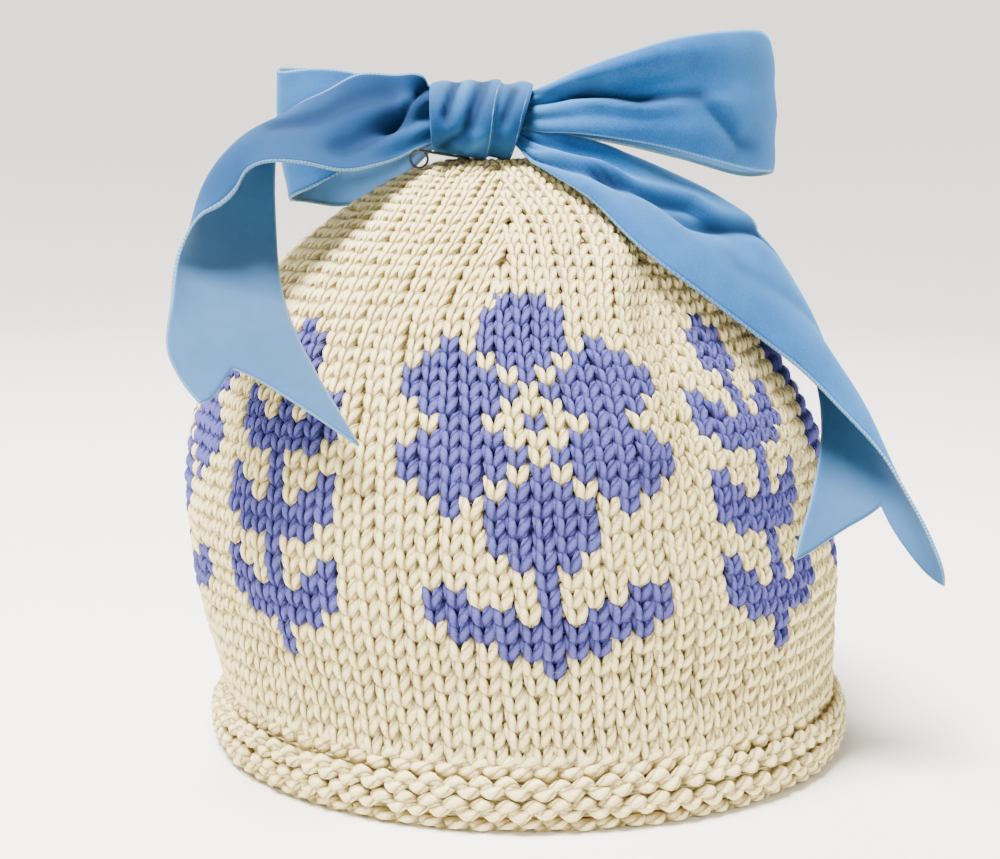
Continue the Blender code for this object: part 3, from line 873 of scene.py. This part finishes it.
def knit_ground():
    """The thin cloth that the stitches lie on: a front and a back half, parted along the slits."""
    whole = bmesh.new()
    for first in (-pi, 0.0):
        half = bmesh.new()
        bmesh.ops.create_grid(half, x_segments=WALES, y_segments=GROUND_ROWS, size=0.5)
        grid = np.array([vertex.co for vertex in half.verts]) + 0.5
        run = HEM_RUN + (WALL_RUN - HEM_RUN) * grid[:, 1]
        angle = first + pi * grid[:, 0]
        layer = half.loops.layers.uv.new("UVMap")
        for face in half.faces:
            for loop in face.loops:
                corner = loop.vert.co
                loop[layer].uv = ((corner.x + 0.5) * WALES / 2, (corner.y + 0.5) * (ROWS + BUMP_ROWS))
            middle = face.calc_center_median()
            middle_run = HEM_RUN + (WALL_RUN - HEM_RUN) * (middle.y + 0.5)
            wale, row = nearest_stitch(first + pi * (middle.x + 0.5), middle_run)
            face.material_index = int(chart_colour(wale, row))
        places = on_cloth(angle, np.full_like(angle, first + pi / 2), run, np.full_like(run, GROUND_LIFT))
        places[:, 2] = np.maximum(places[:, 2], FOOT_CLEAR * MM)
        for vertex, place in zip(half.verts, places):
            vertex.co = place
        add_to(whole, half)
    bmesh.ops.remove_doubles(whole, verts=whole.verts, dist=GROUND_MERGE * MM)
    bmesh.ops.recalc_face_normals(whole, faces=whole.faces)
    top = max(whole.faces, key=lambda face: face.calc_center_median().z)
    if top.normal.z < 0:
        bmesh.ops.reverse_faces(whole, faces=whole.faces)
    return whole


def half_wave(share, start, length):
    return sin(pi * (start + length * share))


def leg_points(side):
    """A function that shapes one leg of a stitch."""
    start, end = Vector(LEG_START), Vector(LEG_END)

    def place(angle, share):
        across = (start.x + (end.x - start.x) * share) * side
        up = start.y + (end.y - start.y) * share
        swell = half_wave(share, *LEG_SWELL) ** LEG_TAPER
        lift = LEG_SINK + LEG_LIFT * half_wave(share, *LEG_ARCH)
        wide = LEG_HALF_WIDTH * swell * cos(angle)
        lift = lift + LEG_HALF_DEPTH * swell * sin(angle)
        return Vector((across + wide, up - wide * side * LEG_SLANT, lift))
    return place


def stitch_mesh():
    legs = [yarn_piece(leg_points(side), LEG_SIDES, LEG_RINGS) for side in (-1, 1)]
    return joined_units(legs, "stitch")


def chart_colour(column, row):
    """True where the chart asks for the second yarn."""
    chart_row = len(CHART) - 1 - (row - CHART_FOOT_ROW)
    if not 0 <= chart_row < len(CHART):
        return False
    line = CHART[chart_row]
    return line[(column + CHART_SHIFT) % len(line)] == "#"


def mark_second_yarn(mesh, unit, wales, rows):
    """Gives each copy of a unit the yarn that the chart asks for at its wale and row."""
    second = np.array([chart_colour(wale, row) for wale, row in zip(wales, rows)], dtype=np.int32)
    mesh.polygons.foreach_set("material_index", np.repeat(second, len(unit.polygons)))


def sector_of_wales():
    """The middle, in wales, of the sector that each wale belongs to, and that sector's half width."""
    middle, half = [], []
    start = 0
    for count in SECTORS:
        middle += [start + count / 2] * count
        half += [count / 2] * count
        start += count
    return np.array(middle), np.array(half)


def knit_quarter(number, unit):
    """A quarter of the wall's stitches, joined in one mesh with two yarns."""
    each = WALES // len(QUARTERS)
    first = number * each
    mesh = repeated(unit, each, ROWS, "stitches")
    points, copy, column, row = copied_points(mesh, unit, each)
    local_x = points[:, 0] - column
    local_y = points[:, 1] - row
    column = column + first
    luck = np.random.default_rng(STITCH_SEED + number)
    wobble = luck.normal(0, 1, (4, each * ROWS))[:, copy]
    lean = 0.05 * np.sin(row * 0.37 + column * 2.3) + 0.03 * np.sin(row * 0.9 + column * 5.1)
    local_x = local_x * (1 + WOBBLE_WIDTH * wobble[0]) + WOBBLE_ACROSS * wobble[1] + lean
    local_y = local_y + WOBBLE_UP * wobble[2] + WOBBLE_TILT * wobble[1] * local_x
    lift = points[:, 2] + WOBBLE_LIFT * wobble[3]
    run = row_run(row + local_y)
    sector_middle, sector_half = sector_of_wales()
    middle = sector_middle[column]
    angle = wale_angle(column + 0.5 + local_x, run, middle)
    centre = wale_angle(column + 0.5, row_run(row + 0.5), middle)
    set_points(mesh, on_cloth(angle, centre, run, lift))
    unit_column = first + np.arange(each * ROWS) % each
    unit_row = np.arange(each * ROWS) // each
    unit_run = row_run(unit_row + 0.5)
    mark_second_yarn(mesh, unit, unit_column, unit_row)
    off = np.abs(unit_column + 0.5 - sector_middle[unit_column])
    keep = off <= sector_half[unit_column] / wale_spread(unit_run) + DECREASE_OVERLAP
    keep &= along_path("radius", unit_run) > LAST_RADIUS
    keep_copies(mesh, unit, keep)
    return mesh


def bump_points(middle, down, bend):
    """A function that shapes one purl bump: a short bow of yarn along the hem that dips in at its ends."""
    def place(angle, share):
        across = (share - 0.5) * 2 * BUMP_SPAN
        arch = max(cos((share - 0.5) * pi), 0.0)
        swell = 0.5 + 0.5 * arch ** BUMP_TAPER
        place_down = down + bend * (1 - arch) - BUMP_HALF_HEIGHT * swell * cos(angle)
        lift = BUMP_SINK + BUMP_LIFT * arch ** BUMP_CURVE + BUMP_RADIUS * swell * sin(angle)
        return Vector((middle + across, place_down, lift))
    return place


def bump_mesh():
    """A bump that bends up and, half a wale on and half a row down, one that bends down."""
    shapes = (bump_points(0.0, 0.25, BUMP_ARCH), bump_points(0.5, 0.75, -BUMP_ARCH))
    return joined_units([yarn_piece(shape, BUMP_SIDES, BUMP_RINGS) for shape in shapes], "bumps")


def hem_bumps():
    """The purl bumps of the rolled hem, all round."""
    unit = bump_mesh()
    mesh = repeated(unit, BUMP_WALES, BUMP_ROWS, "bumps")
    points, _, column, row = copied_points(mesh, unit, BUMP_WALES)
    bump = np.arange(len(points)) // (len(unit.vertices) // 2)
    luck = np.random.default_rng(BUMP_SEED)
    wobble = luck.normal(0, 1, (4, 2 * BUMP_WALES * BUMP_ROWS))[:, bump]
    local_x = points[:, 0] - column
    middle = 0.5 * (bump % 2)
    tilt = BUMP_WOBBLE_TILT * wobble[0] * (local_x - middle)
    local_x = local_x + BUMP_WOBBLE_ACROSS * wobble[1]
    drift = 0.08 * np.sin(column * 0.31 + row * 2)
    local_y = points[:, 1] - row + tilt + BUMP_WOBBLE_DOWN * wobble[2] + drift
    lift = points[:, 2] + BUMP_WOBBLE_LIFT * wobble[3]
    run = BUMP_START - (row + local_y) * BUMP_PITCH
    angle = FIRST_WALE_ANGLE + (column + local_x) * tau / BUMP_WALES
    centre = FIRST_WALE_ANGLE + (column + middle) * tau / BUMP_WALES
    set_points(mesh, on_cloth(angle, centre, run, lift))
    bpy.data.meshes.remove(unit)
    return mesh


def loose_fibres():
    """Fine curved hairs that stand out of the stitches all over the wall."""
    hair = yarn_piece(lambda angle, share: Vector((share, sin(angle), cos(angle))), HAIR_SIDES, HAIR_RINGS)
    unit = joined_units([hair], "hair")
    count = HAIRS[0] * HAIRS[1]
    mesh = repeated(unit, *HAIRS, "hairs")
    points, copy, column, row = copied_points(mesh, unit, HAIRS[0])
    luck = np.random.default_rng(HAIR_SEED)
    height = luck.uniform(0.0, 1.0, count) ** HAIR_SPREAD
    run = HAIR_FOOT + (WALL_RUN - HAIR_TOP_GAP - HAIR_FOOT) * height
    angle = luck.uniform(0, tau, count)
    heading = luck.uniform(0, tau, count)
    length = luck.uniform(*HAIR_LENGTH, count)
    rise = luck.uniform(*HAIR_LIFT, count)
    curl = luck.uniform(-HAIR_CURL, HAIR_CURL, count)
    share = points[:, 0] - column
    across = (points[:, 1] - row) * HAIR_RADIUS
    turn = heading[copy] + curl[copy] * share
    step = share * length[copy]
    local_run = run[copy] + step * np.sin(turn) + across * np.cos(turn)
    sideways = step * np.cos(turn) - across * np.sin(turn)
    lift = HAIR_SINK + rise[copy] * np.sin(share * HAIR_BEND) + points[:, 2] * HAIR_RADIUS
    radius = np.maximum(along_path("radius", run), HAIR_LEAST_RADIUS)[copy]
    centre = angle[copy]
    set_points(mesh, on_cloth(centre + sideways / radius, centre, np.minimum(local_run, WALL_RUN), lift))
    mark_second_yarn(mesh, unit, *nearest_stitch(angle, run))
    bpy.data.meshes.remove(unit)
    return mesh


# Ribbon


def ribbon_places(run, along, across):
    """Places in millimetres of points of a ribbon run, along in rows and across from 0 to 1, and the painted
    shade of the pile at each."""
    rows = run["rows"]
    last = len(rows) - 1

    def middle_line(place):
        return np.stack([smooth_column(rows, column, place) for column in range(3)], axis=-1)

    middle = middle_line(along)
    ahead = middle_line(np.minimum(along + LOOK_AHEAD, last))
    onward = ahead - middle_line(np.maximum(along - LOOK_AHEAD, 0.0))
    bearing, rise, width, bulge, fold = (smooth_column(rows, column, along) for column in range(3, 8))
    bearing = np.radians(bearing)
    rise = np.radians(rise)
    level = np.cos(rise)
    edge_line = np.stack([level * np.cos(bearing), level * np.sin(bearing), np.sin(rise)], axis=-1)
    normal = np.cross(onward, edge_line)
    normal /= np.linalg.norm(normal, axis=-1, keepdims=True)
    off = 2 * across - 1
    lift = bulge * (1 - off * off)
    lift = lift + fold * np.exp(-(((across - CREASE_AT) / CREASE_HALF_WIDTH) ** 2))
    crease = np.zeros_like(along)
    for first, end, start_across, end_across, half_width, depth, step in run["creases"]:
        share = np.clip((along - first) / (end - first), 0, 1)
        line = start_across + (end_across - start_across) * share
        outside = np.maximum(np.maximum(first - along, along - end), 0) / CREASE_FADE
        beyond = (across - line) / half_width
        held = np.exp(-outside * outside)
        crease = crease + depth * held * np.exp(-beyond * beyond)
        lift = lift + step * held * beyond * np.exp(-STEP_FADE * beyond * beyond)
    if "rolled_edge" in run:
        row, spread, share, height = run["rolled_edge"]
        held = np.exp(-(((along - row) / spread) ** 2))
        lift = lift + height * held * np.clip(1 - across / share, 0, 1) ** 2
    gather = np.minimum(np.maximum(RIBBON_WIDTH - width, 0) * GATHER_RISE, GATHER_HEIGHT)
    gather = gather * np.clip(along, GATHER_LEAST, 1) * np.clip(last - along, GATHER_LEAST, 1)
    lift = lift + crease + gather * np.sin(tau * GATHER_WAVES * across + 0.5 * np.sin(along))
    # Painted shade of the pile: the run's own, deepened in its creases
    painted_shade = np.clip(crease * run["velvet_side"] * -CREASE_SHADE + run["pile"], 0, 1)
    return middle + edge_line * (off * width / 2)[:, None] + normal * lift[:, None], painted_shade


def ribbon_run(name):
    """One run of ribbon as a thin sheet, with its fishtail cut, its velvet side and its UV map."""
    run = RUNS[name]
    last = len(run["rows"]) - 1
    points = bmesh.new()
    bmesh.ops.create_grid(points, x_segments=last * RIBBON_STEPS, y_segments=RIBBON_ACROSS, size=0.5)
    grid = np.array([vertex.co for vertex in points.verts]) + 0.5
    along, across = grid[:, 0], grid[:, 1]
    layer = points.loops.layers.uv.new("UVMap")
    length = run["flat_length"] / (RIBBON_WIDTH * MM)
    for face in points.faces:
        for loop in face.loops:
            loop[layer].uv = (loop.vert.co.y + 0.5, (loop.vert.co.x + 0.5) * length)
    if run["notch"]:
        depth, place = run["notch"]
        side = np.where(across < place, across / place, (1 - across) / (1 - place))
        along = along * (1 - depth * side)
    places, painted_shades = ribbon_places(run, along * last, across)
    # The painted shade, kept for the velvet's material
    painted_shade_layer = points.verts.layers.float.new("painted_shade")
    for vertex, place, painted_shade in zip(points.verts, places, painted_shades):
        vertex.co = (Vector(place) + AXIS) * MM
        vertex[painted_shade_layer] = painted_shade
    if run["velvet_side"] < 0:
        bmesh.ops.reverse_faces(points, faces=points.faces)
    return points


def filled_out(value):
    """A sine or cosine made fuller, so that the knot is squarer than an oval."""
    return np.abs(value) ** KNOT_FULLNESS * np.sign(value)


def knot_points():
    """The band of the knot: its profile turned about X, flattened, leaning and creased."""
    count = (len(KNOT_PROFILE) - 1) * KNOT_ROW_STEPS
    place = np.linspace(0, len(KNOT_PROFILE) - 1, count + 1)
    along = smooth_column(KNOT_PROFILE, 0, place)
    share = np.maximum(smooth_column(KNOT_PROFILE, 1, place), 0.0)
    points = spun([(x, 0.0, radius) for x, radius in zip(along, share)], (1, 0, 0), KNOT_STEPS, 0.0005)
    places = np.array([vertex.co for vertex in points.verts])
    along = places[:, 0]
    radius = np.hypot(places[:, 1], places[:, 2])
    turn = np.arctan2(places[:, 2], places[:, 1])
    height_share = np.sin(turn)
    skin = np.clip((radius - KNOT_SKIN[0]) / KNOT_SKIN[1], 0, 1)
    front = np.clip(-KNOT_FRONT_SHARPNESS * np.cos(turn) + KNOT_FRONT_REACH, 0, 1)
    creases = KNOT_RIPPLE * np.sin(along * 0.9 + 2.2 * height_share) * np.sin(turn * 2 + 0.7)
    creases = creases + KNOT_BACK_RIPPLE * (1 - front) * np.sin(along * 1.1 + np.cos(turn))
    for first_x, first_height, end_x, end_height, half_width, depth in KNOT_CREASES:
        share = (first_height - height_share) / (first_height - end_height)
        held = np.clip(share, 0, 1)
        line = first_x + (end_x - first_x) * held
        past = (share - held) * (first_height - end_height) / KNOT_CREASE_FADE
        creases = creases + depth * front * np.exp(-(((along - line) / half_width) ** 2) - past * past)
    # Painted shade of the knot's pile, deepened in its creases
    painted_shades = np.clip(-creases * skin * KNOT_CREASE_SHADE + KNOT_SHADE, 0, 1)
    radius = radius + creases * skin
    depth = radius * KNOT_HALF_DEPTH * filled_out(np.cos(turn))
    height = radius * KNOT_HALF_HEIGHT * filled_out(height_share)
    start = KNOT_PROFILE[0][0]
    rightward = (along - start) / -start
    taper = KNOT_TAPER * np.clip(1 - KNOT_TAPER_FALL * rightward, KNOT_TAPER_LEAST, 1)
    height = np.where(height < 0, height * (1 - taper), height)
    leaning = rightward * KNOT_LEAN * height
    moved = np.stack([along + leaning, depth, height + depth * KNOT_HANG], axis=-1)
    layer = points.loops.layers.uv.new("UVMap")
    painted_shade_layer = points.verts.layers.float.new("painted_shade")
    numbers = {vertex: number for number, vertex in enumerate(points.verts)}
    for face in points.faces:
        for loop in face.loops:
            number = numbers[loop.vert]
            wander = KNOT_EDGE_WANDER * sin(3 * turn[number])
            from_edge = min(abs(places[number][0] - edge + wander) for edge in KNOT_EDGES)
            share_across = 0.5 + 0.5 * min(max(1.3 - from_edge / KNOT_EDGE_WIDTH, 0.0), 1.0)
            loop[layer].uv = (share_across, turn[number] / tau * KNOT_WIDTHS_ROUND)
    for vertex, place, painted_shade in zip(points.verts, moved, painted_shades):
        vertex.co = (Vector(place) + KNOT_MIDDLE + AXIS) * MM
        vertex[painted_shade_layer] = painted_shade
    bmesh.ops.recalc_face_normals(points, faces=points.faces)
    return points


# Settings


def colour_setting(name, description, colour):
    """A property for one colour, given as red, green and blue."""
    return bpy.props.FloatVectorProperty(
        name=name, description=description, subtype="COLOR", size=4, default=(*colour, 1.0), min=0, max=1,
    )


class TeaCosySettings(bpy.types.PropertyGroup):
    cream: colour_setting("Cream yarn", "Colour of the main yarn", (0.89, 0.755, 0.385))
    # Painted shade of the cream yarn, which also gives the dark side of its uneven tone
    cream_dark: colour_setting(
        "Cream yarn between plies", "Shaded colour of the main yarn", (0.33, 0.235, 0.080))
    lavender: colour_setting("Lavender yarn", "Colour of the second yarn", (0.085, 0.085, 0.28))
    # Painted shade of the lavender yarn, which also gives the dark side of its uneven tone
    lavender_dark: colour_setting(
        "Lavender yarn between plies", "Shaded colour of the second yarn", (0.018, 0.018, 0.09))
    # Painted shade: colours of the dark cloth seen between the stitches
    cream_gap_shade: colour_setting("Gaps in cream", "Colour between the cream stitches", (0.30, 0.21, 0.10))
    lavender_gap_shade: colour_setting(
        "Gaps in lavender", "Colour between the lavender stitches", (0.03, 0.03, 0.14))
    velvet: colour_setting("Velvet", "Colour of the ribbon's pile", (0.009, 0.076, 0.235))
    # Dark side of the pile's brushed mottling; darkened further, the painted shade in creases and dark runs
    velvet_fold: colour_setting("Velvet in folds", "Deep colour of the pile", (0.004, 0.038, 0.13))
    # Tint of the shader's sheen, and of the painted sheen of the pile seen edge on
    velvet_sheen: colour_setting("Velvet sheen", "Colour of the pile seen edge on", (0.10, 0.30, 0.60))
    ribbon_back: colour_setting("Ribbon back", "Colour of the ribbon's woven back", (0.013, 0.068, 0.17))
    ribbon_thickness: bpy.props.FloatProperty(
        name="Ribbon thickness", description="Thickness of the velvet ribbon", unit="LENGTH",
        default=RIBBON_THICKNESS * MM, min=0.0003, max=0.003,
    )


# Operators


class TEACOSY_OT_ground(bpy.types.Operator):
    """Make the thin knitted cloth under the stitches"""
    bl_idname = "tea_cosy.ground"
    bl_label = "Knitted cloth"

    def execute(self, context):
        look = settings()
        materials = [
            # The first two colour the cloth between the stitches with painted shade
            ground_material("wool_ground_cream", look.cream_gap_shade),
            ground_material("wool_ground_lavender", look.lavender_gap_shade),
            purl_material("wool_inside_cream", look.cream, look.cream_dark),
            purl_material("wool_inside_lavender", look.lavender, look.lavender_dark),
        ]
        piece = add_piece(new_mesh(knit_ground(), "knit_ground"), "knit_ground", materials)
        thicken(piece, GROUND_THICKNESS * MM, offset=-1.0, inner=2, rim=2)
        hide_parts("cosy_body")
        return {"FINISHED"}


class TEACOSY_OT_stitches(bpy.types.Operator):
    """Knit the stitches of the wall and crown in two yarns"""
    bl_idname = "tea_cosy.stitches"
    bl_label = "Stitches"

    def execute(self, context):
        look = settings()
        yarns = [
            yarn_material("wool_cream", look.cream, look.cream_dark),
            yarn_material("wool_lavender", look.lavender, look.lavender_dark),
        ]
        unit = stitch_mesh()
        for number, quarter in enumerate(QUARTERS):
            mesh = knit_quarter(number, unit)
            add_piece(mesh, "knit_stitches_" + quarter, yarns)
        bpy.data.meshes.remove(unit)
        add_piece(hem_bumps(), "knit_hem_bumps", yarns[:1])
        add_piece(loose_fibres(), "knit_halo", yarns)
        return {"FINISHED"}


class TEACOSY_OT_cloth_facts(bpy.types.Operator):
    """An empty step, which changes nothing"""
    bl_idname = "tea_cosy.cloth_facts"
    bl_label = "Cloth facts"

    def execute(self, context):
        return {"FINISHED"}


class TEACOSY_OT_ribbon(bpy.types.Operator):
    """Make the runs of the velvet ribbon"""
    bl_idname = "tea_cosy.ribbon"
    bl_label = "Velvet ribbon"

    def execute(self, context):
        look = settings()
        materials = [
            velvet_material("velvet_pile", look.velvet, look.velvet_fold, look.velvet_sheen, SELVEDGE),
            ribbon_back_material("velvet_back", BACK_LIGHT, look.ribbon_back, SELVEDGE),
            selvedge_material("ribbon_selvedge", SELVEDGE),
        ]
        for name, run in RUNS.items():
            velvet_name = name + "_velvet"
            piece = add_piece(new_mesh(ribbon_run(name), velvet_name), velvet_name, materials)
            thicken(piece, look.ribbon_thickness, offset=0.0, inner=1, rim=2)
            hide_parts(name)
        mesh = new_mesh(knot_points(), "ribbon_knot_velvet")
        knot = add_piece(mesh, "ribbon_knot_velvet", materials[:1])
        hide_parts("ribbon_knot")
        return {"FINISHED"}


class TEACOSY_OT_pin(bpy.types.Operator):
    """Finish the safety pin"""
    bl_idname = "tea_cosy.pin"
    bl_label = "Safety pin"

    def execute(self, context):
        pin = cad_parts["safety_pin"]
        pin.data.materials.clear()
        pin.data.materials.append(wire_material("dark_wire"))
        return {"FINISHED"}


class TEACOSY_OT_stage(bpy.types.Operator):
    """Set the floor, the lights and the camera"""
    bl_idname = "tea_cosy.stage"
    bl_label = "Stage"

    def execute(self, context):
        outline = [(0.0, 0.0, 0.0), (FLOOR_RADIUS, 0.0, 0.0)]
        for number in range(1, SWEEP_STEPS + 1):
            angle = pi / 2 * number / SWEEP_STEPS
            radius = FLOOR_RADIUS + SWEEP_RADIUS * sin(angle)
            outline.append((radius, 0.0, SWEEP_RADIUS * (1 - cos(angle))))
        points = spun(outline, (0, 0, 1), FLOOR_STEPS, 0.0001)
        bmesh.ops.recalc_face_normals(points, faces=points.faces)
        mesh = new_mesh(points, "floor")
        mesh.shade_smooth()
        mesh.materials.append(Finish("pale_floor", Base_Color=FLOOR_COLOUR, Roughness=0.8).material)
        floor = bpy.data.objects.new("floor", mesh)
        context.scene.collection.objects.link(floor)
        for name, place, size, power, colour in LIGHTS:
            lamp = bpy.data.lights.new(name, "AREA")
            lamp.size = size
            lamp.energy = power
            lamp.color = colour
            light = bpy.data.objects.new(name, lamp)
            light.location = place
            light.rotation_euler = (LOOK_AT - Vector(place)).to_track_quat("-Z", "Y").to_euler()
            context.scene.collection.objects.link(light)
        world = bpy.data.worlds.new("pale_room")
        world.use_nodes = True
        background = world.node_tree.nodes["Background"]
        background.inputs["Color"].default_value = ROOM_COLOUR
        background.inputs["Strength"].default_value = ROOM_STRENGTH
        context.scene.world = world
        lens = bpy.data.cameras.new("camera")
        lens.lens = CAMERA_LENS
        camera = bpy.data.objects.new("camera", lens)
        back = Vector((0.0, -cos(CAMERA_PITCH), sin(CAMERA_PITCH))) * CAMERA_DISTANCE
        camera.location = LOOK_AT + back
        camera.rotation_euler = (pi / 2 - CAMERA_PITCH, 0.0, 0.0)
        context.scene.collection.objects.link(camera)
        context.scene.camera = camera
        return {"FINISHED"}


class TEACOSY_PT_panel(bpy.types.Panel):
    """Steps that make the tea cosy"""
    bl_idname = "TEACOSY_PT_panel"
    bl_label = "Tea cosy"
    bl_space_type = "VIEW_3D"
    bl_region_type = "UI"
    bl_category = "Tea cosy"

    def draw(self, context):
        column = self.layout.column()
        for step in STEPS:
            column.operator(step)
        for name in TeaCosySettings.__annotations__:
            column.prop(context.scene.tea_cosy, name)


STEPS = (
    "tea_cosy.stage",
    "tea_cosy.ground",
    "tea_cosy.stitches",
    "tea_cosy.cloth_facts",
    "tea_cosy.ribbon",
    "tea_cosy.pin",
)
CLASSES = (
    TeaCosySettings,
    TEACOSY_OT_stage,
    TEACOSY_OT_ground,
    TEACOSY_OT_stitches,
    TEACOSY_OT_cloth_facts,
    TEACOSY_OT_ribbon,
    TEACOSY_OT_pin,
    TEACOSY_PT_panel,
)


def register():
    for item in CLASSES:
        bpy.utils.register_class(item)
    bpy.types.Scene.tea_cosy = bpy.props.PointerProperty(type=TeaCosySettings)


def unregister():
    del bpy.types.Scene.tea_cosy
    for item in reversed(CLASSES):
        bpy.utils.unregister_class(item)


def main():
    register()
    bpy.ops.tea_cosy.stage()
    bpy.ops.tea_cosy.ground()
    bpy.ops.tea_cosy.stitches()
    bpy.ops.tea_cosy.cloth_facts()
    bpy.ops.tea_cosy.ribbon()
    bpy.ops.tea_cosy.pin()


if __name__ == "__main__":
    main()
